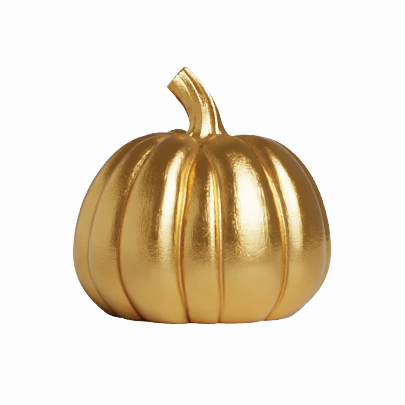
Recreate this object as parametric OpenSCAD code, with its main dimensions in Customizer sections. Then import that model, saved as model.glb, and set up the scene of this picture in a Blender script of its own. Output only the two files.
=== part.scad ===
// Ceramic pumpkin figure: a hollow ribbed body, a separately cast bent stem bonded into a
// seat in the crown, and felt pads under the foot.
// Millimetres, +Z up. The origin is on the table under the middle of the body, and the
// front, with the narrow lobe, faces -Y. The stem bends towards -X.

/* [Body] */
// Radius of the body at its widest lobe crests
body_r = 100; // [90:1:110]
// Height of the widest point above the table
belly_z = 51; // [46:1:56]
// Height of the upper curve above the belly, before the crown dips
upper_h = 107.5; // [98:0.5:116]
// Height of the lower curve below the belly, before the foot cuts it flat
lower_h = 67.5; // [64:0.5:74]
// Squareness of the upper curve, where 2 is an ellipse
upper_power = 2; // [1.9:0.02:2.2]
// Squareness of the lower curve
lower_power = 2.12; // [1.9:0.02:2.4]
// How much squarer the right shoulder is than the mean
shoulder_skew = 0.08; // [0:0.01:0.15]
// How much squarer the left foot is than the mean
foot_skew = 0.03; // [0:0.01:0.15]
// Wall thickness of the casting at the lobe crests
wall = 5.5; // [4.5:0.5:7]

/* [Lobes] */
// Width of each lobe in degrees, anticlockwise from the narrow front one; they add up to 360
lobe_widths = [19.3, 34, 36.5, 30, 32, 27, 31, 33, 29.5, 32.4, 24.9, 30.4]; // each [15:0.1:45]
// Radius of each lobe's crest as a share of the body's
lobe_crests = [0.955, 1, 1, 0.99, 1, 0.985, 0.965, 0.99, 1, 0.995, 0.985, 1]; // each [0.95:0.005:1]
// Place of each lobe's crest across it, where 0.5 is its middle
lobe_summits = [0.8, 0.54, 0.42, 0.5, 0.5, 0.5, 0.5, 0.5, 0.5, 0.5, 0.45, 0.5]; // each [0.35:0.01:0.8]
// How steeply each lobe falls into its grooves, where 2 is a plain arc
lobe_powers = [1.5, 2.5, 3.4, 3.2, 2.4, 2.4, 2.4, 2.4, 2.4, 2.4, 2.2, 3.4]; // each [1.4:0.1:3.8]
// Depth of the groove before each lobe as a share of the radius
groove_depths = [0.12, 0.09, 0.1, 0.08, 0.09, 0.08, 0.09, 0.08, 0.09, 0.08, 0.08, 0.07]; // [0.05:0.01:0.12]
// Direction of the groove before the narrow front lobe, in degrees from +X
first_groove = -100.9; // [-110:0.1:-90]
// How far the grooves swing round between the belly and the foot, in degrees
foot_twist = 2.5; // [0:0.5:5]
// Share of its width that the narrow front lobe loses below the crown
narrow_pinch = 0.92; // [0:0.02:0.92]
// Share of their depth that the two grooves beside it keep there
pinch_groove = 0.5; // [0.3:0.05:1]

/* [Crown and foot] */
// Depth of the dip in the crown
dip_depth = 23.5; // [20:0.5:26]
// Radius of the dip
dip_r = 40; // [36:1:44]
// Depth of the notch between the front lobes, where the narrow one runs out
notch_depth = 4; // [0:0.5:5]
// Half width of the notch
notch_w = 8; // [6:0.5:12]
// Radius of the casting hole through the crown
crown_hole_r = 10; // [9.5:0.5:12]
// Radius of the vent hole through the base
vent_r = 4; // [3:0.5:6]
// Radius of the hollow in the middle of the foot
foot_hollow_r = 34; // [20:1:38]
// Depth of that hollow
foot_hollow_depth = 1.5; // [0.5:0.5:2.5]

/* [Stem] */
// Sideways place of the stem's foot
stem_x = 3; // [0:0.5:4]
// Height of the stem above its foot, to the middle of its tip
stem_rise = 49.4; // [42:0.2:58]
// How far the tip leans towards -X
stem_lean = 24.4; // [18:0.2:30]
// Radius of the stem above its foot
stem_r = 11.2; // [10.4:0.2:12]
// Extra radius at the foot
foot_flare = 8; // [6:0.2:8.4]
// Number of ribs along the stem
stem_ribs = 7; // [6:1:9]
// Direction of the rib left of the front at the foot, in degrees from +X
rib_start = 252; // [240:1:264]
// Height of the ribs
rib_h = 1.4; // [0.6:0.1:1.8]
// How far the ribs have turned at the tip, in degrees
rib_twist = 60; // [0:5:70]
// Radius of the hollow inside the stem
stem_hollow_r = 6; // [4:0.5:6.5]
// Length of the spigot below the foot
spigot_h = 8; // [5:0.5:10]
// Thickness of the bond between the stem and the body
bond_t = 0.5; // [0.3:0.1:0.8]

/* [Pads] */
// Radius of a pad
pad_r = 8; // [5:0.5:9]
// Thickness of a pad
pad_t = 1.2; // [0.8:0.1:2]
// Distance from the middle to a pad's centre
pad_ring_r = 48; // [47:0.5:50]

/* [Hidden] */

gold = [0.80, 0.60, 0.27];
epoxy = [0.62, 0.50, 0.30];
felt = [0.20, 0.15, 0.11];

over = 1;                // how far a cutter runs past the surface it cuts
lobe_count = len(lobe_widths);
lobe_starts = [for (i = [0 : lobe_count]) first_groove + sum_to(lobe_widths, i)];
shoulder_side = -35;     // direction of the squarer shoulder
foot_side = 200;         // direction of the squarer foot
outer_columns = 8;       // columns to a lobe on the outside
inner_columns = 4;       // columns to a lobe on the inside
outer_rows = 28;
inner_rows = 14;
top_angle = 87;          // angle up the curve of the last row, inside the casting hole
crown_from = 62;         // angle up the curve where the grooves start to fade
crown_to = 82;           // and where they have faded
crown_groove = 0.35;     // share of a groove's depth that is left then
pinch_from = 34;         // angle up the curve where the narrow lobe starts to pinch
pinch_to = 65;           // and where it has run out
notch_x = -1;            // sideways place of the notch
notch_start = [8, 16];   // distances in front of the middle between which the notch sets in
notch_end = [36, 58];    // and between which it runs out
inner_groove = 0.95;     // groove depth inside as a share of that outside
inner_dip = 4;           // how much deeper the dip is inside, for a full wall under the seat

base_z = pad_t;          // underside of the casting
seat_sink = 0.5;         // depth of the seat in the bottom of the dip
seat_z = belly_z + upper_h - dip_depth - seat_sink;
seat_gap = 0.3;          // clearance round the stem's foot
seat_r = stem_r + foot_flare + rib_h / 2 + seat_gap;
rim_slope = 1.5;         // fall of the lowest crown surface away from the seat

stem_z = seat_z + bond_t;
spigot_r = crown_hole_r - bond_t;
bond_depth = 6;          // how far the bond reaches down the spigot
tip_slope = 40;          // direction of the tip above level, in degrees
tip_reach = 17;          // how long the stem keeps to that direction
foot_fade = 0.19;        // share of the stem's length over which its foot narrows
foot_power = 1.3;        // how suddenly it narrows
rib_power = 3;           // sharpness of the ribs, with broad flutes between them
rib_columns = 6;         // columns to a rib
stem_rows = 20;
twist_power = 1.3;       // how late along the stem the ribs turn
stem_crowding = 1.4;     // crowds the rows towards the foot, where the curve is tight
hollow_columns = 16;
hollow_rows = 10;
hollow_start = 0.05;     // where the stem's hollow starts along its length
hollow_end = 0.86;       // and where it ends
spigot_bore_r = stem_hollow_r - 0.5;
spigot_bore_h = spigot_h + 5;   // the bore runs on into the hollow

pad_count = 4;
pad_turn = 45;           // direction of the first pad

$fn = 64;

// --- Surface of the body -------------------------------------------------------------------

// A smooth step that is 0 up to a and 1 from b.
function ramp(a, b, x) = let (t = min(1, max(0, (x - a) / (b - a)))) t * t * (3 - 2 * t);

function sum_to(list, n) = n <= 0 ? 0 : list[n - 1] + sum_to(list, n - 1);

function upper_squareness(a) = upper_power + shoulder_skew * cos(a - shoulder_side);
function lower_squareness(a) = lower_power + foot_skew * cos(a - foot_side);

// Angle at which the lower curve in direction a meets the floor of a skin.
function foot_angle(a, inset) =
    -asin(pow((belly_z - base_z - inset) / (lower_h - inset), lower_squareness(a) / 2));

// Radius, and height over the belly, of the crest curve at angle phi, which is 0 at the
// belly and 90 on the axis.
function crest(phi, a, inset) =
    let (power = phi < 0 ? lower_squareness(a) : upper_squareness(a),
         across = pow(cos(phi), 2 / power),
         up = pow(abs(sin(phi)), 2 / power))
    [(body_r - inset) * across, phi < 0 ? -(lower_h - inset) * up : (upper_h - inset) * up];

// Depth of the groove before lobe i at phi. The two beside the narrow lobe run out with it.
function groove(i, phi) =
    let (beside = i % lobe_count == 0 || i == 1,
         lost = beside ? (1 - pinch_groove) * ramp(pinch_from, pinch_to, phi) : 0)
    groove_depths[i % lobe_count] * (1 - lost);

// How far lobe i has run out at phi. Only the narrow front lobe does.
function pinch(i, phi) = i == 0 ? narrow_pinch * ramp(pinch_from, pinch_to, phi) : 0;

// Radius at share u of the way across lobe i, as a share of the crest curve's.
function lobe_share(i, u, phi, groove_part) =
    let (fade = ramp(crown_from, crown_to, phi),
         depth = groove_part * (1 - (1 - crown_groove) * fade),
         floor = 1 - depth * (groove(i, phi) * (1 - u) + groove(i + 1, phi) * u),
         top = 1 - (1 - lobe_crests[i]) * (1 - fade),
         rise = (top - floor) * (1 - pinch(i, phi)),
         summit = lobe_summits[i],
         off = u < summit ? (summit - u) / summit : (u - summit) / (1 - summit))
    floor + rise * (1 - pow(off, lobe_powers[i]));

// Direction of the groove before lobe i. The two beside the narrow lobe close in on it.
function groove_angle(i, phi) =
    let (close = pinch(0, phi) * lobe_widths[0] / 2,
         side = i % lobe_count == 0 ? 1 : i == 1 ? -1 : 0,
         twist = foot_twist * ramp(foot_angle(lobe_starts[i], 0), 0, phi))
    lobe_starts[i] + foot_twist - twist + side * close;

function dip(x, y, depth) = depth * exp(-(pow(x - stem_x, 2) + y * y) / (dip_r * dip_r));

function notch(x, y) =
    notch_depth * exp(-pow((x - notch_x) / notch_w, 2))
    * ramp(notch_start[0], notch_start[1], -y) * (1 - ramp(notch_end[0], notch_end[1], -y));

// Lowest height of the crown outside, which keeps the seat whole.
function rim(x, y) =
    seat_z + seat_sink - rim_slope * max(0, norm([x - stem_x, y]) - seat_r);

// A point of the outer or inner skin: lobe i, share u across it and share v up the curve.
function body_point(i, u, v, outer) =
    let (inset = outer ? 0 : wall,
         square = lobe_starts[i] + u * lobe_widths[i],
         foot = foot_angle(square, inset),
         phi = foot + (top_angle - foot) * v,
         c = crest(phi, square, inset),
         share = lobe_share(i, u, phi, outer ? 1 : inner_groove),
         a = groove_angle(i, phi) * (1 - u) + groove_angle(i + 1, phi) * u,
         x = c[0] * share * cos(a),
         y = c[0] * share * sin(a),
         dent = dip(x, y, dip_depth + (outer ? 0 : inner_dip)) + notch(x, y),
         up = belly_z + c[1] * share - dent,
         z = phi < 0 ? belly_z + c[1] : outer ? max(up, rim(x, y)) : up)
    [x, y, z];

// A closed surface from rows of points that go round, with a point on the axis at each end.
module barrel(rows, low, high) {
    n = len(rows[0]);
    m = len(rows);
    points = concat([low], [for (row = rows) each row], [high]);
    function at(r, c) = 1 + r * n + c % n;
    faces = concat(
        [for (c = [0 : n - 1]) [0, at(0, c), at(0, c + 1)]],
        [for (r = [0 : m - 2], c = [0 : n - 1]) each [
            [at(r, c), at(r + 1, c), at(r + 1, c + 1)],
            [at(r, c), at(r + 1, c + 1), at(r, c + 1)],
        ]],
        [for (c = [0 : n - 1]) [1 + m * n, at(m - 1, c + 1), at(m - 1, c)]]
    );
    polyhedron(points = points, faces = faces);
}

module body_skin(outer) {
    columns = outer ? outer_columns : inner_columns;
    row_count = outer ? outer_rows : inner_rows;
    rows = [for (r = [0 : row_count])
        [for (i = [0 : lobe_count - 1], s = [0 : columns - 1])
            body_point(i, s / columns, r / row_count, outer)]];
    barrel(rows, [0, 0, rows[0][0][2]], [0, 0, rows[row_count][0][2]]);
}

module body_shell() {
    color(gold)
        difference() {
            body_skin(true);
            body_skin(false);
            translate([0, 0, base_z - over])
                cylinder(r = vent_r, h = wall + foot_hollow_depth + 2 * over);
            translate([0, 0, base_z - over])
                cylinder(r = foot_hollow_r, h = foot_hollow_depth + over);
            translate([stem_x, 0, seat_z])
                cylinder(r = seat_r, h = dip_depth);
            translate([stem_x, 0, seat_z - dip_depth])
                cylinder(r = crown_hole_r, h = 2 * dip_depth);
        }
}

// --- Stem ----------------------------------------------------------------------------------

stem_tip = [stem_x - stem_lean, stem_z + stem_rise];
stem_line = [
    [stem_x, stem_z],
    [stem_x, stem_z + stem_rise / 2],
    stem_tip + tip_reach * [1, -tan(tip_slope)],
    stem_tip,
];

// The stem's centre line is a cubic curve, with t from 0 at the foot to 1 at the tip.
function stem_at(t) =
    let (s = 1 - t)
    s * s * s * stem_line[0] + 3 * s * s * t * stem_line[1]
    + 3 * s * t * t * stem_line[2] + t * t * t * stem_line[3];

// Direction in which the centre line runs, in degrees above +X.
function stem_heading(t) =
    let (s = 1 - t,
         d = s * s * (stem_line[1] - stem_line[0]) + 2 * s * t * (stem_line[2] - stem_line[1])
             + t * t * (stem_line[3] - stem_line[2]))
    atan2(d[1], d[0]);

function stem_centre(t) = let (c = stem_at(t)) [c[0], 0, c[1]];

function stem_radius(t) = stem_r + foot_flare * exp(-pow(t / foot_fade, foot_power));

// Height of the ribs over the mean radius, at angle a round from the first.
function rib(a) = rib_h * (pow(abs(cos(a * stem_ribs / 2)), rib_power) - 0.5);

// Points round the centre line at t. The ribs are left out where ribbed is 0.
function stem_ring(t, columns, radius, ribbed) =
    let (c = stem_at(t), h = stem_heading(t), first = rib_start + rib_twist * pow(t, twist_power))
    [for (k = [0 : columns - 1])
        let (off = 360 * k / columns,
             a = first + off,
             r = radius + ribbed * rib(off),
             side = r * cos(a))
        [c[0] + side * sin(h), r * sin(a), c[1] - side * cos(h)]];

module stem_outside() {
    rows = [for (r = [0 : stem_rows])
        let (t = pow(r / stem_rows, stem_crowding))
        stem_ring(t, stem_ribs * rib_columns, stem_radius(t), 1)];
    barrel(rows, stem_centre(0), stem_centre(1));
}

module stem_hollow() {
    rows = [for (r = [0 : hollow_rows])
        let (t = hollow_start + (hollow_end - hollow_start) * r / hollow_rows)
        stem_ring(t, hollow_columns, stem_hollow_r, 0)];
    barrel(rows, stem_centre(hollow_start), stem_centre(hollow_end));
}

module stem() {
    color(gold)
        difference() {
            union() {
                stem_outside();
                translate([stem_x, 0, stem_z - spigot_h])
                    cylinder(r = spigot_r, h = spigot_h + over);
            }
            stem_hollow();
            translate([stem_x, 0, stem_z - spigot_h - over])
                cylinder(r = spigot_bore_r, h = spigot_bore_h + over);
        }
}

// The bond is a ring round the spigot with a thin flange under the stem's foot.
module stem_bond() {
    reach = min(bond_depth, spigot_h - over);
    flange_r = stem_r + foot_flare - rib_h;
    color(epoxy)
        translate([stem_x, 0, seat_z])
            rotate_extrude()
                polygon([
                    [spigot_r, -reach], [crown_hole_r, -reach], [crown_hole_r, 0],
                    [flange_r, 0], [flange_r, bond_t], [spigot_r, bond_t],
                ]);
}

// --- Pads ----------------------------------------------------------------------------------

module felt_pad(n) {
    color(felt)
        rotate([0, 0, pad_turn + 360 * (n - 1) / pad_count])
            translate([pad_ring_r, 0, 0])
                cylinder(r = pad_r, h = pad_t);
}

body_shell();
stem();
stem_bond();
felt_pad(1);  // felt_pad_1
felt_pad(2);  // felt_pad_2
felt_pad(3);  // felt_pad_3
felt_pad(4);  // felt_pad_4
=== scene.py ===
"""Looks of a ceramic pumpkin figure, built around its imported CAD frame.

Blender works in metres. The shapes below are worked out in millimetres and degrees, as the
part's own design is, and MM turns them into metres when a mesh is made. +Z is up, the front
faces -Y and the stem bends towards -X.
"""

import math

import bpy
import numpy as np
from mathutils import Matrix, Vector, noise


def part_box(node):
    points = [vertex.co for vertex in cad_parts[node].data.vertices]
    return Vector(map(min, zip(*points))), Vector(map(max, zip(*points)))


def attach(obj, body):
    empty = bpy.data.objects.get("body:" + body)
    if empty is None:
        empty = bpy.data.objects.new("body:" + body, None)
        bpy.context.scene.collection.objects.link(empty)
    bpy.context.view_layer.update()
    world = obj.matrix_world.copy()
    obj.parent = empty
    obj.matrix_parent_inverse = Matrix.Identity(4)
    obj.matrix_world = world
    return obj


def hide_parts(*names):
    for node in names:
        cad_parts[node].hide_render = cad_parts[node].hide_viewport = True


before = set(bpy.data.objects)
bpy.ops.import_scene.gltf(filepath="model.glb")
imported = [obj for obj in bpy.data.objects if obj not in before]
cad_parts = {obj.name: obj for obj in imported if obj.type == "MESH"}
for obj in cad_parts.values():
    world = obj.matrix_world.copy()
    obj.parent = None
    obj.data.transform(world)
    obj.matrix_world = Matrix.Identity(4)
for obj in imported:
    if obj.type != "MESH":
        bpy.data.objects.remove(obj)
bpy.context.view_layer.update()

MM = 0.001
BODY = "root"


# --- Places taken from the frame -----------------------------------------------------------

def box_mm(node):
    low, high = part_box(node)
    return np.array(low) / MM, np.array(high) / MM


bond_low, bond_high = box_mm("stem_bond")

base_z = box_mm("body_shell")[0][2]              # underside of the casting
stem_x = (bond_low[0] + bond_high[0]) / 2
stem_z = bond_high[2]                            # underside of the stem's foot
spigot_end_z = box_mm("stem")[0][2]


# --- Design of the body, in millimetres and degrees ----------------------------------------

BODY_R = 100.0
BELLY_Z = 51.0
UPPER_H = 107.5
LOWER_H = 67.5
UPPER_POWER = 2.0
LOWER_POWER = 2.12
SHOULDER_SKEW = 0.08
SHOULDER_SIDE = -35.0
FOOT_SKEW = 0.03
FOOT_SIDE = 200.0
WALL = 5.5

# For each lobe and the groove before it, from the narrow front lobe on towards the right: the
# lobe's width in degrees, how far its crest and its summit are, how square it is, and then the
# groove's depth and how strong its vein is.
LOBE_WIDTHS = np.array([19.3, 34, 36.5, 30, 32, 27, 31, 33, 29.5, 32.4, 24.9, 30.4])
LOBE_CRESTS = np.array([0.955, 1, 1, 0.99, 1, 0.985, 0.965, 0.99, 1, 0.995, 0.985, 1])
LOBE_SUMMITS = np.array([0.8, 0.54, 0.42, 0.5, 0.5, 0.5, 0.5, 0.5, 0.5, 0.5, 0.45, 0.5])
LOBE_POWERS = np.array([1.5, 2.5, 3.4, 3.2, 2.4, 2.4, 2.4, 2.4, 2.4, 2.4, 2.2, 3.4])
GROOVE_DEPTHS = np.array([0.12, 0.09, 0.1, 0.08, 0.09, 0.08, 0.09, 0.08, 0.09, 0.08, 0.08, 0.07])
VEINS = np.array([1.0, 1.0, 0.8, 2.6, 0.8, 0.7, 0.9, 0.6, 0.8, 0.6, 0.4, 0.3])
FIRST_GROOVE = -100.9
LOBES = len(LOBE_WIDTHS)
LOBE_STARTS = FIRST_GROOVE + np.concatenate([[0], np.cumsum(LOBE_WIDTHS)])
NARROW = 0                       # the narrow front lobe
FOOT_TWIST = 2.5
NARROW_PINCH = 0.92
PINCH_FROM, PINCH_TO = 34.0, 65.0
PINCH_GROOVE = 0.5               # share of a groove's depth left where the narrow lobe runs out
SWAY, SWAY_AT, SWAY_OVER = 1.6, 31.0, 13.0   # how the groove left of the narrow lobe bends in
CROWN_FROM, CROWN_TO = 62.0, 82.0
CROWN_GROOVE = 0.35
INNER_GROOVE = 0.95
DIP_DEPTH = 23.5
DIP_R = 40.0
INNER_DIP = 4.0
RISE = 5.0                       # a lobe at the back left stands higher beside the stem
RISE_AT = (-14.0, 30.0)
RISE_W = (21.0, 16.0)
NOTCH_DEPTH = 4.0                # notch between the front lobes, where the narrow one runs out
NOTCH_W = 8.0
NOTCH_X = -1.0
NOTCH_START = (8.0, 16.0)
NOTCH_END = (36.0, 58.0)
RIM_SLOPE = 1.5                  # how steeply the crown may fall away from the seat's rim
RIM_ROUND = 1.0

BOND_T = 0.5
SEAT_SINK = 0.5
SEAT_R = 20.2
SEAM = 0.35                      # gap that shows round the stem's foot
CROWN_HOLE_R = 10.0
VENT_R = 4.0
FOOT_HOLLOW_R = 34.0
FOOT_HOLLOW_DEPTH = 1.5
seat_z = stem_z - BOND_T


def ramp(a, b, x):
    """A smooth step that is 0 up to a and 1 from b."""
    t = np.clip((x - a) / (b - a), 0, 1)
    return t * t * (3 - 2 * t)


def cosd(x):
    return np.cos(np.radians(x))


def sind(x):
    return np.sin(np.radians(x))


def smooth_max(a, b, width):
    """The larger of a and b, with a rounded change-over."""
    return np.maximum(a, b) + np.maximum(width - np.abs(a - b), 0) ** 2 / (4 * width)


def upper_squareness(a):
    return UPPER_POWER + SHOULDER_SKEW * cosd(a - SHOULDER_SIDE)


def lower_squareness(a):
    return LOWER_POWER + FOOT_SKEW * cosd(a - FOOT_SIDE)


def foot_angle(a, inset, below):
    """Angle at which the lower curve in direction a comes down to the base, less below."""
    up = (BELLY_Z - base_z - inset + below) / (LOWER_H - inset)
    return -np.degrees(np.arcsin(up ** (lower_squareness(a) / 2)))


def groove_angle(i, phi):
    """Direction of the groove before lobe i. The two beside the narrow lobe close in on it."""
    close = NARROW_PINCH * ramp(PINCH_FROM, PINCH_TO, phi) * LOBE_WIDTHS[NARROW] / 2
    side = np.where(i % LOBES == NARROW, 1, np.where(i == NARROW + 1, -1, 0))
    start = LOBE_STARTS[i]
    sway = np.where(i % LOBES == NARROW, SWAY * np.exp(-((phi - SWAY_AT) / SWAY_OVER) ** 2), 0)
    twist = FOOT_TWIST * (1 - ramp(foot_angle(start, 0, 0), 0, phi))
    return start + twist + side * close + sway


def groove_depth(i, phi):
    """Depth of the groove before lobe i. The two beside the narrow lobe get shallower with it."""
    beside = (i % LOBES == NARROW) | (i == NARROW + 1)
    fade = np.where(beside, (1 - PINCH_GROOVE) * ramp(PINCH_FROM, PINCH_TO, phi), 0)
    return GROOVE_DEPTHS[i % LOBES] * (1 - fade)


def body_skin(lobe, u, phi, outer):
    """Points of the outer or inner skin for columns of lobe and share u, at angles phi."""
    inset = 0 if outer else WALL
    square = LOBE_STARTS[lobe] + u * LOBE_WIDTHS[lobe]
    lower = phi < 0
    power = np.where(lower, lower_squareness(square), upper_squareness(square))
    across = cosd(phi) ** (2 / power)
    up = np.abs(sind(phi)) ** (2 / power)
    fade = ramp(CROWN_FROM, CROWN_TO, phi)
    depth = (1 if outer else INNER_GROOVE) * (1 - (1 - CROWN_GROOVE) * fade)
    floor = 1 - depth * (groove_depth(lobe, phi) * (1 - u) + groove_depth(lobe + 1, phi) * u)
    top = 1 - (1 - LOBE_CRESTS[lobe]) * (1 - fade)
    run_out = np.where(lobe == NARROW, NARROW_PINCH * ramp(PINCH_FROM, PINCH_TO, phi), 0)
    summit = LOBE_SUMMITS[lobe]
    from_summit = np.where(u < summit, (summit - u) / summit, (u - summit) / (1 - summit))
    share = floor + (top - floor) * (1 - run_out) * (1 - from_summit ** LOBE_POWERS[lobe])
    a = groove_angle(lobe, phi) * (1 - u) + groove_angle(lobe + 1, phi) * u
    radius = (BODY_R - inset) * across * share
    x = radius * cosd(a)
    y = radius * sind(a)
    dip = DIP_DEPTH if outer else DIP_DEPTH + INNER_DIP
    dip = dip * np.exp(-((x - stem_x) ** 2 + y ** 2) / DIP_R ** 2)
    notch = NOTCH_DEPTH * np.exp(-((x - NOTCH_X) / NOTCH_W) ** 2)
    notch = notch * ramp(*NOTCH_START, -y) * (1 - ramp(*NOTCH_END, -y))
    rise_x, rise_y = (x - RISE_AT[0]) / RISE_W[0], (y - RISE_AT[1]) / RISE_W[1]
    rise = RISE * np.exp(-rise_x ** 2 - rise_y ** 2)
    high = BELLY_Z + (UPPER_H - inset) * up * share - dip - notch + rise
    if outer:
        away = np.maximum(np.hypot(x - stem_x, y) - SEAT_R, 0)
        high = smooth_max(high, seat_z + SEAT_SINK - RIM_SLOPE * away, RIM_ROUND)
    z = np.where(lower, BELLY_Z - (LOWER_H - inset) * up, high)
    return np.stack([x, y, z], axis=-1)


# --- Meshes made of rows of points ---------------------------------------------------------

def row_normals(points):
    """Outward normals of a grid of rows that go round anticlockwise, the lowest row first."""
    along = np.gradient(points, axis=0)
    around = np.roll(points, -1, axis=1) - np.roll(points, 1, axis=1)
    n = np.cross(around, along)
    return n / np.maximum(np.linalg.norm(n, axis=-1, keepdims=True), 1e-9)


SEED_SHIFT = 17.3                # how far apart in the noise two seeds are


def noise_at(points, size, seed):
    """Smooth noise, about -1 to 1, with lumps of the given sizes in mm along x, y and z."""
    flat = (points / np.array(size)).reshape(-1, 3) + seed * SEED_SHIFT
    values = np.fromiter((noise.noise(Vector(p)) for p in flat), float, len(flat))
    return values.reshape(points.shape[:-1])


def ring(centre_x, radius, z, theta):
    """A level circle of points, at the directions theta."""
    x, y = centre_x + radius * cosd(theta), radius * sind(theta)
    return np.stack([x, y, np.full_like(theta, z)], axis=-1)


def make_piece(name, rows, flow, node, closed, creases=None):
    """A closed mesh from rows of points in mm. It joins its last row to its first if closed
    is true, and otherwise ends in a point at each end. Creases, 0 to 1, hold painted shade."""
    m, n = len(rows), len(rows[0])
    points = np.concatenate([np.asarray(r) for r in rows])
    grow = np.concatenate([np.asarray(f) for f in flow])
    faces = []
    for r in range(m if closed else m - 1):
        a, b = r * n, (r + 1) % m * n
        faces += [(a + c, a + (c + 1) % n, b + (c + 1) % n, b + c) for c in range(n)]
    if not closed:
        low, high = len(points), len(points) + 1
        points = np.concatenate([points, [np.mean(rows[0], axis=0), np.mean(rows[-1], axis=0)]])
        grow = np.concatenate([grow, [np.mean(flow[0], axis=0), np.mean(flow[-1], axis=0)]])
        creases = None if creases is None else creases + [np.zeros(2)]
        faces += [(low, (c + 1) % n, c) for c in range(n)]
        faces += [(high, (m - 1) * n + c, (m - 1) * n + (c + 1) % n) for c in range(n)]
    mesh = bpy.data.meshes.new(name)
    mesh.from_pydata((points * MM).tolist(), [], faces)
    mesh.polygons.foreach_set("use_smooth", [True] * len(mesh.polygons))
    attribute = mesh.attributes.new("flow", "FLOAT_VECTOR", "POINT")
    attribute.data.foreach_set("vector", (grow * MM).astype(np.float32).ravel())
    if creases is not None:
        attribute = mesh.attributes.new("crease", "FLOAT", "POINT")
        attribute.data.foreach_set("value", np.concatenate(creases).astype(np.float32))
    mesh.update()
    piece = bpy.data.objects.new(name, mesh)
    bpy.context.scene.collection.objects.link(piece)
    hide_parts(node)
    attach(piece, BODY)
    return piece


# --- Body ----------------------------------------------------------------------------------

STREAK_STRETCH = 6               # how many times longer than wide the streaks in the gold are
COLUMNS_PER_LOBE = 36
GROOVE_CROWDING = 0.84           # crowds the columns towards the grooves
OUTER_ROWS = 176
INNER_ROWS = 14
FOOT_BELOW = 2.5                 # how far the curve runs on below the base before it is rounded
FOOT_ROUND = 3.5
VEIN_H = 0.75                    # height of the raised vein along each groove
VEIN_W = 0.6                     # half its width
VEIN_PLAIN = 0.8                 # below this share of its height, a vein's two creases run into one
# The dark creases are painted shade in the grooves.
CREASE_AT = 1.3                  # distance of the dark creases from the middle of the vein
CREASE_W = 0.7
CREASE_LOW = np.array([1.0, 0.15, 0.3, 0.6, 1, 1, 1, 1, 1, 1, 1, 1])   # painted shade below the belly
CREASE_ALONE = 1.5               # how much wider the crease is where there is no vein
VEIN_FROM, VEIN_TO = -42.0, -8.0            # angles over which the vein starts
VEIN_END_FROM, VEIN_END_TO = 50.0, 66.0     # and over which it ends
PIT_FROM, PIT_R = 30.0, 44.0     # the painted shade round the stem's foot thins out between these
PIT_FORWARD = 22.0               # how far in front of the stem its middle is
PIT_SHADE = 0.92
CALM_LOW, CALM_HIGH = 0.06, (0.93, 0.99)    # where the curve leaves the foot and nears the seat
# Unevenness of the casting away from both: height, sizes along x, y and z, and seed.
LUMPS = ((0.30, (22, 22, 34), 1), (0.10, (7, 7, 12), 2))
EDGE = 0.5                       # size of the small rounded edges
BEVEL = 0.3                      # how far in the middle of such an edge is, as a share of it
SEAT_SEARCH = (50.0, 89.0, 240)  # angles between which the seat is looked for, and steps
FLOOR_RINGS = (24.0, 9.0)        # radii of the rows across the inner floor,
HOLLOW_RING = 12.0               # the foot's hollow
SEAT_RING = 15.0                 # and the seat
INNER_SHARES = (0.08, 0.4, 0.8, 0.97)   # where the rows between the hollow and the foot are
LIFT_FROM = 0.8                  # and the share from which they lift to the foot's height
LIP_IN, LIP_DOWN, LIP_UP = 0.15, 0.25, 0.2   # the seat's wall: how far in, down and up it starts


def seat_angles(lobe, u, radius, outer):
    """For each column, the angle up the curve at which it reaches a circle round the stem."""
    samples = np.linspace(*SEAT_SEARCH)[:, None]
    p = body_skin(lobe, u, samples, outer)
    away = np.hypot(p[..., 0] - stem_x, p[..., 1])
    return np.array([np.interp(-radius, -away[:, c], samples[:, 0]) for c in range(len(lobe))])


def flow_of(points, theta, along):
    """Coordinates for streaks that run up a piece: they are stretched along it."""
    r = np.hypot(points[..., 0], points[..., 1]).max()
    return np.stack([r * cosd(theta), r * sind(theta), along], axis=-1)


def outer_skin(lobe, u):
    """The outside, from the foot up to the seat, with veins and the unevenness of a casting."""
    square = LOBE_STARTS[lobe] + u * LOBE_WIDTHS[lobe]
    start = foot_angle(square, 0, FOOT_BELOW)
    end = seat_angles(lobe, u, SEAT_R, True)
    v = np.linspace(0, 1, OUTER_ROWS)[:, None]
    phi = start + (end - start) * v
    points = body_skin(lobe, u, phi, True)
    edge = np.minimum(u, 1 - u)
    nearest = np.where(u < 0.5, lobe, lobe + 1)
    gap = np.radians(groove_angle(lobe + 1, phi) - groove_angle(lobe, phi)) * edge
    off = gap * np.hypot(points[..., 0], points[..., 1])
    present = ramp(VEIN_FROM, VEIN_TO, phi) * (1 - ramp(VEIN_END_FROM, VEIN_END_TO, phi))
    height = VEIN_H * VEINS[nearest % LOBES] * present * np.exp(-(off / VEIN_W) ** 2)
    free = ramp(0, CALM_LOW, v) * (1 - ramp(*CALM_HIGH, v))
    for lump, size, seed in LUMPS:
        height = height + free * lump * noise_at(points, size, seed)
    points = points + row_normals(points) * height[..., None]
    points[..., 2] = smooth_max(points[..., 2], base_z, FOOT_ROUND)
    # Painted shade: dark lines beside each vein, a wider single line where there is no vein, and a
    # dark patch round the stem's foot, set in front of it.
    beside = np.exp(-((np.abs(off) - CREASE_AT) / CREASE_W) ** 2)
    alone = np.exp(-(off / (CREASE_ALONE * CREASE_W)) ** 2)
    alone = alone * np.where(phi < 0, CREASE_LOW[nearest % LOBES], 1)
    away = np.hypot(points[..., 0] - stem_x, points[..., 1] + PIT_FORWARD)
    pit = PIT_SHADE * (1 - ramp(PIT_FROM, PIT_R, away))
    shown = present * np.minimum(VEINS[nearest % LOBES] / VEIN_PLAIN, 1)
    return points, np.maximum(beside * shown + alone * (1 - shown), pit)


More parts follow.
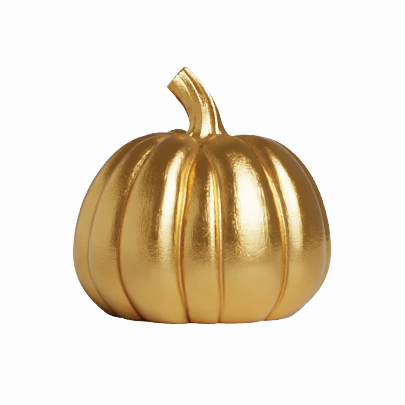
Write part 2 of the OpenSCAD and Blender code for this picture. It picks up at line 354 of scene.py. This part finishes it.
def build_body():
    per = COLUMNS_PER_LOBE
    s = np.arange(per) / per
    u = np.tile(s - GROOVE_CROWDING * np.sin(2 * np.pi * s) / (2 * np.pi), LOBES)
    lobe = np.repeat(np.arange(LOBES), per)
    outside, outside_creases = outer_skin(lobe, u)
    foot = outside[0]
    theta = np.degrees(np.arctan2(foot[:, 1], foot[:, 0]))
    hollow_z = base_z + FOOT_HOLLOW_DEPTH
    floor_z = base_z + WALL

    # From the inner floor down through the vent, and out under the foot.
    rows = [ring(0, r, floor_z, theta) for r in FLOOR_RINGS + (VENT_R + EDGE,)]
    rows += [ring(0, VENT_R, z, theta) for z in (floor_z - EDGE, hollow_z + EDGE)]
    across_hollow = (VENT_R + EDGE, HOLLOW_RING, FOOT_HOLLOW_R - 2 * EDGE)
    rows += [ring(0, r, hollow_z, theta) for r in across_hollow]
    rows += [ring(0, FOOT_HOLLOW_R - BEVEL * EDGE, hollow_z - BEVEL * EDGE, theta)]
    rows += [ring(0, FOOT_HOLLOW_R, base_z + EDGE, theta)]
    rows += [ring(0, FOOT_HOLLOW_R + EDGE, base_z, theta)]
    inner_edge = rows[-1]
    for share in INNER_SHARES:
        level = inner_edge + (foot - inner_edge) * share
        lift = max(0, share - LIFT_FROM) / (1 - LIFT_FROM)
        level[:, 2] = base_z + (foot[:, 2] - base_z) * lift
        rows.append(level)
    under = len(rows)
    rows += list(outside)

    # Over the edge of the seat, down it, and through the casting hole.
    seat = outside[-1]
    turn = np.degrees(np.arctan2(seat[:, 1], seat[:, 0] - stem_x))
    lip = ring(stem_x, SEAT_R - LIP_IN, 0, turn)
    lip[:, 2] = seat[:, 2] - LIP_DOWN
    rows.append(lip)
    rows.append(ring(stem_x, SEAT_R - LIP_IN, seat_z + LIP_UP, turn))
    rows.append(ring(stem_x, SEAT_R - EDGE, seat_z, turn))
    rows += [ring(stem_x, r, seat_z, turn) for r in (SEAT_RING, CROWN_HOLE_R + EDGE)]
    rows += [ring(stem_x, CROWN_HOLE_R, seat_z - EDGE, turn)]

    # The inner skin, from the crown down to the inner floor.
    square = LOBE_STARTS[lobe] + u * LOBE_WIDTHS[lobe]
    low = foot_angle(square, WALL, 0)
    high = seat_angles(lobe, u, CROWN_HOLE_R + EDGE, False)
    v = np.linspace(1, 0, INNER_ROWS)[:, None]
    inside = body_skin(lobe, u, low + (high - low) * v, False)
    rows += list(inside)

    flow = []
    along = 0.0
    for i, row in enumerate(rows):
        if i:
            along += np.linalg.norm(row - rows[i - 1], axis=1).mean() / STREAK_STRETCH
        a = theta if i < under else np.degrees(np.arctan2(row[:, 1], row[:, 0]))
        flow.append(flow_of(outside, a, np.full(len(a), along)))
    creases = [np.zeros(len(theta))] * len(rows)
    creases[under:under + OUTER_ROWS] = list(outside_creases)
    piece = make_piece("pumpkin_body", rows, flow, "body_shell", True, creases)
    return piece, turn, seat[:, 2]


# --- Stem ----------------------------------------------------------------------------------

STEM_R = 11.8
STEM_TAPER = 0.8                 # how much thinner the tip is
STEM_RISE = 49.4
STEM_LEAN = 24.4
TIP_SLOPE = 40.0
TIP_REACH = 17.0
STEM_COLUMNS = 192
STEM_ROWS = 120
ROW_CROWDING = 1.25              # crowds the rows towards the foot
FOOT_FADE = 6.5                  # height over which the foot narrows
RIBS = np.array([46, 98, 147, 196, 252, 305, 348.0])   # directions of the ribs at the foot
RIB_HEIGHTS = np.array([1.4, 1.3, 1.5, 1.3, 1.4, 1.8, 1.2])
STEM_TWIST = 60.0                # how far the ribs have turned at the tip
TWIST_POWER = 1.3
RIB_POWER = 2.0
RIB_START = 5.0                  # height over which the ribs begin
RIB_SWELL, RIB_SWELL_H = 0.2, 12.0    # how much higher they are at the foot, and up to where
STEM_LUMPS = ((0.22, (6, 6, 11), 5), (0.08, (2.4, 2.4, 5), 6))   # as LUMPS, for the stem
STEM_LUMPS_FROM = (0.12, 0.3)    # share of the rows over which they begin
# The deeper creases: direction at the foot, half their width in degrees, and depth.
CREASES = ((291.0, 6.5, 1.8), (226.0, 4.0, 0.3), (20.0, 5.0, 0.5), (122.0, 5.0, 0.4))
CREASE_DARK = 1.7                # the depth at which a crease is full of painted shade
FOOT_SHADE_H = 5.0              # height of the painted shade at the stem's foot
FOOT_SHADE_SIDE = 215.0         # direction in which it is darkest
FOOT_SHADE_EVEN = 0.6           # share of it that is the same all round
# Painted shade along the inside of the bend, and along the outside of it near the tip: strength,
# direction, cosines of how far off it starts and is full, and the same as shares of the line.
STEM_UNDER = (0.8, 180.0, (0.80, 1), (0.15, 0.4))
STEM_OVER = (0.6, 345.0, (0.60, 0.95), (0.45, 0.7))
STEM_HOLLOW_R = 6.0
SPIGOT_BORE_R = 5.5
SPIGOT_BORE_TOP = 3.0            # how far above the stem's foot the bore starts
SPIGOT_R = 9.5
TIP_ROUND = 1.6
TIP_AT = 0.975                   # where the rim starts to round, along the centre line
TIP_WORN = 0.9                   # how much more the top of the rim is rounded
TIP_WORN_FROM = 0.2              # cosine of how far off the top that starts
TIP_SINK = 1.0                   # how deep the middle of the face is
TIP_LUMP = 0.12                  # unevenness of the face, and the size of its lumps
TIP_LUMP_SIZE = (3, 3, 3)
TIP_RIM = (20, 40, 60, 75, 90)   # angles of the rows over the rim
TIP_FACE = (0.8, 0.6, 0.4, 0.2)  # rows across the face, as shares of its radius
HOLLOW_SPAN = (0.86, 0.08, 8)    # shares of the line between which the hollow runs, and rows

tip = np.array([stem_x - STEM_LEAN, stem_z + STEM_RISE])
stem_line = np.array([
    [stem_x, stem_z],
    [stem_x, stem_z + STEM_RISE / 2],
    tip + TIP_REACH * np.array([1, -math.tan(math.radians(TIP_SLOPE))]),
    tip,
])


def stem_at(t):
    """Point of the centre line, in x and z, at share t of it."""
    s = 1 - t
    return (s ** 3 * stem_line[0] + 3 * s * s * t * stem_line[1] + 3 * s * t * t * stem_line[2]
            + t ** 3 * stem_line[3])


def stem_heading(t):
    """Unit vector along the centre line, in x and z."""
    s = 1 - t
    d = (s * s * (stem_line[1] - stem_line[0]) + 2 * s * t * (stem_line[2] - stem_line[1])
         + t * t * (stem_line[3] - stem_line[2]))
    return d / np.linalg.norm(d)


def stem_section(a):
    """Height of the ribs over the mean radius at directions a, and how much painted shade its
    creases get.
    """
    start = np.concatenate([RIBS - 360, RIBS, RIBS + 360])
    heights = np.tile(RIB_HEIGHTS, 3)
    i = np.searchsorted(start, a, side="right") - 1
    w = (a - start[i]) / (start[i + 1] - start[i])
    height = heights[i] * (1 - w) + heights[i + 1] * w
    section = height * (np.abs(2 * w - 1) ** RIB_POWER - 0.5)
    crease = np.zeros_like(a)
    for centre, width, depth in CREASES:
        off = (a - centre + 180) % 360 - 180
        section = section - depth * np.exp(-(off / width) ** 2)
        crease = crease + min(1, (depth / CREASE_DARK) ** 2) * np.exp(-(off / width) ** 2)
    return section, np.minimum(crease, 1)


def stem_turn(t):
    return STEM_TWIST * t ** TWIST_POWER


def stem_ring(t, radius, a, forward=0.0):
    """Points at radius round the centre line at t, moved forward along it."""
    c, h = stem_at(t), stem_heading(t)
    side = radius * cosd(a)
    x = c[0] + forward * h[0] + side * h[1]
    z = c[1] + forward * h[1] - side * h[0]
    return np.stack([x, radius * sind(a), z], axis=-1)


def stem_painted_shade(t, above, turned):
    """Painted shade at the directions turned: at the foot, inside the bend, and outside it by the
    tip.
    """
    uneven = 1 - FOOT_SHADE_EVEN
    foot = FOOT_SHADE_EVEN + uneven * cosd(turned - FOOT_SHADE_SIDE)
    foot = np.exp(-(above / FOOT_SHADE_H) ** 2) * foot
    painted_shade = foot
    for strength, side, near, along in (STEM_UNDER, STEM_OVER):
        band = strength * ramp(*near, cosd(turned - side)) * ramp(*along, t)
        painted_shade = np.maximum(painted_shade, band)
    return painted_shade


def build_stem(seat_turn, seat_height):
    a = np.arange(STEM_COLUMNS) * 360 / STEM_COLUMNS
    crown = np.interp(a, seat_turn % 360, seat_height, period=360)
    foot_r = SEAT_R - SEAM
    section, crease = stem_section(a)

    # From the end of the hollow, down the bore and round the spigot to under the foot.
    bore_z = (stem_z + SPIGOT_BORE_TOP, spigot_end_z + EDGE)
    rows = [stem_ring(t, STEM_HOLLOW_R, a) for t in np.linspace(*HOLLOW_SPAN)]
    rows += [ring(stem_x, SPIGOT_BORE_R, z, a) for z in bore_z]
    rows += [ring(stem_x, r, spigot_end_z, a) for r in (SPIGOT_BORE_R + EDGE, SPIGOT_R - EDGE)]
    rows += [ring(stem_x, SPIGOT_R, z, a) for z in (spigot_end_z + EDGE, stem_z - EDGE)]
    rows += [ring(stem_x, r, stem_z, a) for r in (SPIGOT_R + EDGE, SEAT_RING, foot_r - EDGE)]

    # The outside.
    outside = []
    creases = [np.zeros_like(a)] * len(rows)
    for t in TIP_AT * np.linspace(0, 1, STEM_ROWS) ** ROW_CROWDING:
        z = stem_at(t)[1]
        above = np.maximum(z - crown, 0)
        r = STEM_R - STEM_TAPER * t + (foot_r - STEM_R) * np.exp(-above / FOOT_FADE)
        r = r + section * ramp(0, RIB_START, above) * (1 + RIB_SWELL * np.exp(-above / RIB_SWELL_H))
        turned = a + stem_turn(t)
        outside.append(stem_ring(t, r, turned))
        # Painted shade in the stem's creases, at its foot, and along its bend.
        creases.append(np.maximum(crease, stem_painted_shade(t, above, turned)))
    outside = np.array(outside)
    free = ramp(*STEM_LUMPS_FROM, np.linspace(0, 1, STEM_ROWS))[:, None]
    height = sum(free * lump * noise_at(outside, size, seed) for lump, size, seed in STEM_LUMPS)
    outside = outside + row_normals(outside) * height[..., None]
    rows += list(outside)

    # The cut tip: a rounded rim, more so at the top, round a slightly sunken face.
    rim = STEM_R - STEM_TAPER * TIP_AT + section
    turned = a + stem_turn(TIP_AT)
    wear_and_shade = 1 + TIP_WORN * ramp(TIP_WORN_FROM, 1, cosd(turned))
    for q in TIP_RIM:
        out, up = TIP_ROUND * wear_and_shade * (1 - cosd(q)), TIP_ROUND * (1 - wear_and_shade * (1 - sind(q)))
        rows.append(stem_ring(TIP_AT, rim - out, turned, up))
    for share in TIP_FACE:
        lump = TIP_LUMP * noise_at(rows[-1], TIP_LUMP_SIZE, 7)
        sunk = TIP_ROUND - TIP_SINK * (1 - share ** 2) + lump
        rows.append(stem_ring(TIP_AT, (rim - TIP_ROUND * wear_and_shade) * share, turned, sunk))

    flow = []
    along = 0.0
    for i, row in enumerate(rows):
        if i:
            along += np.linalg.norm(row - rows[i - 1], axis=1).mean() / STREAK_STRETCH
        flow.append(np.stack([STEM_R * cosd(a), STEM_R * sind(a), np.full(len(a), along)], axis=-1))
    creases += [np.zeros_like(a)] * (len(rows) - len(creases))
    return make_piece("pumpkin_stem", rows, flow, "stem", False, creases)


# --- Felt pads -----------------------------------------------------------------------------

PAD_COLUMNS = 96
PAD_EDGE = 0.3
PAD_RINGS = (0.15, 0.35, 0.6, 0.8, 0.93)   # rows across each flat face, as shares of the radius
PAD_FUZZ = 0.10                  # unevenness of the cut edge, and the size of its lumps
PAD_FUZZ_SIZE = (0.9, 0.9, 0.9)
PAD_TURNS = (0, 45, 90)          # angles of the rows round the two edges


def build_pad(node):
    low, high = box_mm(node)
    centre = (low + high) / 2
    radius = (high[0] - low[0]) / 2
    a = np.arange(PAD_COLUMNS) * 360 / PAD_COLUMNS
    rows = [ring(0, radius * share, low[2], a) for share in PAD_RINGS]
    for q in PAD_TURNS:
        r = radius - PAD_EDGE + PAD_EDGE * sind(q)
        rows.append(ring(0, r, low[2] + PAD_EDGE * (1 - cosd(q)), a))
    for q in PAD_TURNS:
        r = radius - PAD_EDGE + PAD_EDGE * cosd(q)
        rows.append(ring(0, r, high[2] - PAD_EDGE * (1 - sind(q)), a))
    rows += [ring(0, radius * share, high[2], a) for share in reversed(PAD_RINGS)]
    rows = np.array(rows) + np.array([centre[0], centre[1], 0])
    cut = slice(len(PAD_RINGS), -len(PAD_RINGS))
    fuzz = PAD_FUZZ * noise_at(rows, PAD_FUZZ_SIZE, 8)[cut]
    rows[cut, :, 0] += fuzz * cosd(a)
    rows[cut, :, 1] += fuzz * sind(a)
    return make_piece(node + "_cut", list(rows), list(rows), node, closed=False)


# --- Materials -----------------------------------------------------------------------------

class Nodes:
    """A short way to write a node tree."""

    def __init__(self, tree):
        self.tree = tree
        self.tree.nodes.clear()

    def add(self, kind, **values):
        """A node of a kind. Lower-case names are its own settings, and the others its sockets."""
        node = self.tree.nodes.new(kind)
        for key, value in values.items():
            if key.islower():
                setattr(node, key, value)
        for key, value in values.items():
            if not key.islower():
                self.set(node, key.replace("_", " "), value)
        return node

    def set(self, node, socket, value):
        target = node.inputs[socket]
        if isinstance(value, bpy.types.NodeSocket):
            self.tree.links.new(value, target)
        else:
            target.default_value = value

    def join(self, kind, *values, **settings):
        """The first output of a node of a kind, with its sockets set in their order."""
        node = self.tree.nodes.new(kind)
        for key, value in settings.items():
            setattr(node, key, value)
        for socket, value in enumerate(values):
            self.set(node, socket, value)
        return node.outputs[0]

    def math(self, operation, a, b=0.0):
        return self.join("ShaderNodeMath", a, b, operation=operation)

    def wrap(self, value, limit):
        return self.join("ShaderNodeMath", value, limit, -limit, operation="WRAP")

    def ramp(self, value, low, high, to_low=0.0, to_high=1.0):
        return self.join("ShaderNodeMapRange", value, low, high, to_low, to_high,
                         interpolation_type="SMOOTHSTEP")

    def noise(self, vector, scale, detail=2.0, roughness=0.5):
        node = self.add("ShaderNodeTexNoise", Vector=vector, Scale=scale, Detail=detail,
                        Roughness=roughness)
        return node.outputs["Fac"]

    def mix(self, factor, a, b):
        node = self.tree.nodes.new("ShaderNodeMix")
        node.data_type = "RGBA"
        self.set(node, 0, factor)
        self.set(node, 6, a)
        self.set(node, 7, b)
        return node.outputs[2]


def grey(tone):
    return (tone, tone, tone, 1)


def new_material(name):
    material = bpy.data.materials.new(name)
    material.use_nodes = True
    return material, Nodes(material.node_tree)


GOLD_PALE = (0.98, 0.575, 0.235, 1)
GOLD_DEEP = (0.94, 0.53, 0.20, 1)
GOLD_STIPPLE = (0.62, 0.33, 0.10, 1)
# Colours of the brown painted shade in hollows and creases.
PAINTED_SHADE_DARK = (0.165, 0.087, 0.030, 1)
PAINTED_SHADE_PALE = (0.25, 0.14, 0.055, 1)
PAINTED_SHADE_REACH = 0.022             # how far off, in metres, a wall still shades a hollow


def gold_leaf():
    """Worn gold over ceramic: leaf patches, a fine stipple, and streaks that run up the piece.
    Brown painted shade covers it in the hollows and wherever the mesh has creases."""
    material, n = new_material("gold_leaf")
    place = n.add("ShaderNodeTexCoord").outputs["Object"]
    flow = n.add("ShaderNodeAttribute", attribute_name="flow").outputs["Vector"]
    patches = n.noise(place, 32, 4, 0.6)
    streaks = n.noise(flow, 190, 3, 0.6)
    stipple = n.noise(place, 780, 2, 0.6)
    grain = n.noise(place, 2600, 2, 0.6)
    colour = n.mix(n.ramp(patches, 0.35, 0.65), GOLD_PALE, GOLD_DEEP)
    colour = n.mix(n.ramp(stipple, 0.50, 0.75, 0, 0.15), colour, GOLD_STIPPLE)
    rough = n.math("ADD", n.ramp(patches, 0.3, 0.7, 0.12, 0.18),
                   n.ramp(stipple, 0.35, 0.7, -0.02, 0.03))
    # Painted shade: a brown diffuse coat is mixed over the gold where ambient occlusion finds
    # hollows and where the crease attribute asks for it.
    openness = n.add("ShaderNodeAmbientOcclusion", samples=8, only_local=True,
                     Distance=PAINTED_SHADE_REACH).outputs["AO"]
    crease = n.add("ShaderNodeAttribute", attribute_name="crease").outputs["Fac"]
    painted_shade = n.math("MAXIMUM", n.ramp(openness, 0.25, 0.72, 0.9, 0), crease)
    wrinkles = n.noise(flow, 520, 2, 0.5)
    spots = n.math("MULTIPLY", stipple, n.ramp(patches, 0.38, 0.62, 0.35, 1))
    bump = n.add("ShaderNodeBump", Height=streaks, Strength=0.3, Distance=0.0007)
    finer = ((wrinkles, 0.3, 0.0004), (spots, 0.6, 0.0005), (grain, 0.1, 0.0001))
    for height, strength, distance in finer:
        bump = n.add("ShaderNodeBump", Height=height, Strength=strength, Distance=distance,
                     Normal=bump.outputs[0])
    gold = n.add("ShaderNodeBsdfPrincipled", Metallic=1.0, Roughness=rough, Normal=bump.outputs[0])
    n.set(gold, "Base Color", colour)
    # The brown diffuse shader is the painted shade mixed over the gold.
    wear_and_shade = n.add("ShaderNodeBsdfPrincipled", Roughness=n.ramp(stipple, 0.3, 0.7, 0.5, 0.65),
                 Normal=bump.outputs[0])
    n.set(wear_and_shade, "Base Color", n.mix(patches, PAINTED_SHADE_DARK, PAINTED_SHADE_PALE))
    n.set(wear_and_shade, "Specular IOR Level", 0.2)
    both = n.join("ShaderNodeMixShader", painted_shade, gold.outputs[0], wear_and_shade.outputs[0])
    n.add("ShaderNodeOutputMaterial", Surface=both)
    return material


def felt():
    """Dark brown pressed felt: short fibres with a soft sheen."""
    material, n = new_material("brown_felt")
    place = n.add("ShaderNodeTexCoord").outputs["Object"]
    tufts = n.noise(place, 900, 5, 0.7)
    fibres = n.noise(place, 5200, 3, 0.65)
    colour = n.mix(tufts, (0.022, 0.014, 0.009, 1), (0.07, 0.047, 0.032, 1))
    bump = n.add("ShaderNodeBump", Height=tufts, Strength=0.6, Distance=0.0004)
    bump = n.add("ShaderNodeBump", Height=fibres, Strength=0.7, Distance=0.0002,
                 Normal=bump.outputs[0])
    shader = n.add("ShaderNodeBsdfPrincipled", Roughness=0.95, Normal=bump.outputs[0])
    n.set(shader, "Base Color", colour)
    n.set(shader, "Sheen Weight", 0.5)
    n.add("ShaderNodeOutputMaterial", Surface=shader.outputs[0])
    return material


def epoxy():
    """Amber cured epoxy with small bubbles."""
    material, n = new_material("amber_epoxy")
    place = n.add("ShaderNodeTexCoord").outputs["Object"]
    clouds = n.noise(place, 260, 3, 0.6)
    bubbles = n.noise(place, 1500, 1, 0.5)
    colour = n.mix(clouds, (0.34, 0.20, 0.06, 1), (0.50, 0.34, 0.14, 1))
    bump = n.add("ShaderNodeBump", Height=bubbles, Strength=0.4, Distance=0.0003)
    rough = n.ramp(clouds, 0.3, 0.7, 0.25, 0.45)
    shader = n.add("ShaderNodeBsdfPrincipled", Roughness=rough, Normal=bump.outputs[0])
    n.set(shader, "Base Color", colour)
    n.add("ShaderNodeOutputMaterial", Surface=shader.outputs[0])
    return material


# --- Stage: floor, surroundings and camera -------------------------------------------------

FLOOR_SIZE = 12.0
FLOOR_TONE = 0.38
POOL = Vector((0.10, -0.22, 0))  # middle of a painted pool of light, where the main light makes the floor brightest
POOL_R = 0.30
POOL_TONE = 0.62
BACKDROP = 7.0                   # what the camera sees of the floor and the surroundings
ROOM = 0.16                      # the dark room between the lights

# Soft lights at a great distance: azimuths from and to, counted from the front towards the
# right, elevations from and to, softness of the edges, all in degrees, and then brightness.
# Each covers those before it.
LIGHTS = (
    (-142, -52, -30, 38, 9, 0.48),
    (160, 200, -30, 22, 10, 0.40),
    (75, 155, -30, 60, 12, 0.19),
    (-18, 78, 20, 76, 12, 0.36),
    (-2, 61, 2, 62, 7, 1.05),
    (16, 44, 6, 40, 8, 2.0),
    (1, 59, 23, 58, 8, 8.0),
)


def build_floor():
    bpy.ops.mesh.primitive_plane_add(size=FLOOR_SIZE)
    floor = bpy.context.object
    floor.name = "floor"
    material, n = new_material("pale_floor")
    place = n.add("ShaderNodeTexCoord").outputs["Object"]
    away = n.add("ShaderNodeVectorMath", operation="DISTANCE")
    n.set(away, 0, place)
    n.set(away, 1, POOL)
    # A painted pool of light: the floor's tone is paler round POOL.
    pool = n.ramp(away.outputs["Value"], 0, POOL_R, 1, 0)
    pool = n.math("ADD", pool, n.math("MULTIPLY", n.noise(place, 6, 3, 0.5), 0.1))
    tone = n.mix(pool, grey(FLOOR_TONE), grey(POOL_TONE))
    diffuse = n.add("ShaderNodeBsdfDiffuse", Color=tone)
    seen = n.add("ShaderNodeLightPath").outputs["Is Camera Ray"]
    glow = n.add("ShaderNodeEmission", Strength=n.math("MULTIPLY", seen, BACKDROP))
    both = n.join("ShaderNodeAddShader", diffuse.outputs[0], glow.outputs[0])
    n.add("ShaderNodeOutputMaterial", Surface=both)
    floor.data.materials.append(material)


def build_world():
    world = bpy.data.worlds.new("studio")
    world.use_nodes = True
    bpy.context.scene.world = world
    n = Nodes(world.node_tree)
    ray = n.add("ShaderNodeTexCoord").outputs["Generated"]
    x, y, z = n.add("ShaderNodeSeparateXYZ", Vector=ray).outputs
    to_degrees = 180 / math.pi
    azimuth = n.math("MULTIPLY", n.math("ARCTAN2", x, n.math("MULTIPLY", y, -1.0)), to_degrees)
    elevation = n.math("MULTIPLY", n.math("ARCSINE", z), to_degrees)
    total = grey(ROOM)
    for left, right, low, high, soft, power in LIGHTS:
        off = n.math("ABSOLUTE", n.wrap(n.math("SUBTRACT", azimuth, (left + right) / 2), 180.0))
        up = n.math("ABSOLUTE", n.math("SUBTRACT", elevation, (low + high) / 2))
        half_w, half_h = (right - left) / 2, (high - low) / 2
        inside = n.math("MULTIPLY", n.ramp(off, half_w - soft, half_w + soft, 1, 0),
                        n.ramp(up, half_h - soft, half_h + soft, 1, 0))
        total = n.mix(inside, total, grey(power))
    light = n.add("ShaderNodeBackground", Color=total)
    white = n.add("ShaderNodeBackground", Color=grey(BACKDROP))
    seen = n.add("ShaderNodeLightPath").outputs["Is Camera Ray"]
    both = n.join("ShaderNodeMixShader", seen, light.outputs[0], white.outputs[0])
    n.add("ShaderNodeOutputWorld", Surface=both)


CAMERA_DISTANCE = 1.6
CAMERA_ELEVATION = 3.0
CAMERA_AIM_Z = 0.0881
FRAME_WIDTH = 0.310              # width of the view at the object


def build_camera():
    data = bpy.data.cameras.new("camera")
    camera = bpy.data.objects.new("camera", data)
    bpy.context.scene.collection.objects.link(camera)
    data.lens = data.sensor_width * CAMERA_DISTANCE / FRAME_WIDTH
    data.clip_end = 100.0
    e = math.radians(CAMERA_ELEVATION)
    back = Vector((0, -math.cos(e), math.sin(e)))
    camera.location = Vector((0, 0, CAMERA_AIM_Z)) + back * CAMERA_DISTANCE
    camera.rotation_mode = "QUATERNION"
    camera.rotation_quaternion = (-back).to_track_quat("-Z", "Y")
    bpy.context.scene.camera = camera


gold = gold_leaf()
body, seat_turn, seat_height = build_body()
body.data.materials.append(gold)
stem = build_stem(seat_turn, seat_height)
stem.data.materials.append(gold)
felt_material = felt()
for pad_node in sorted(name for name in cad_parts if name.startswith("felt_pad_")):
    build_pad(pad_node).data.materials.append(felt_material)
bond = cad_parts["stem_bond"]
bond.data.materials.clear()
bond.data.materials.append(epoxy())

build_floor()
build_world()
build_camera()
bpy.context.scene.view_settings.view_transform = "Filmic"
bpy.context.scene.view_settings.look = "Very High Contrast"
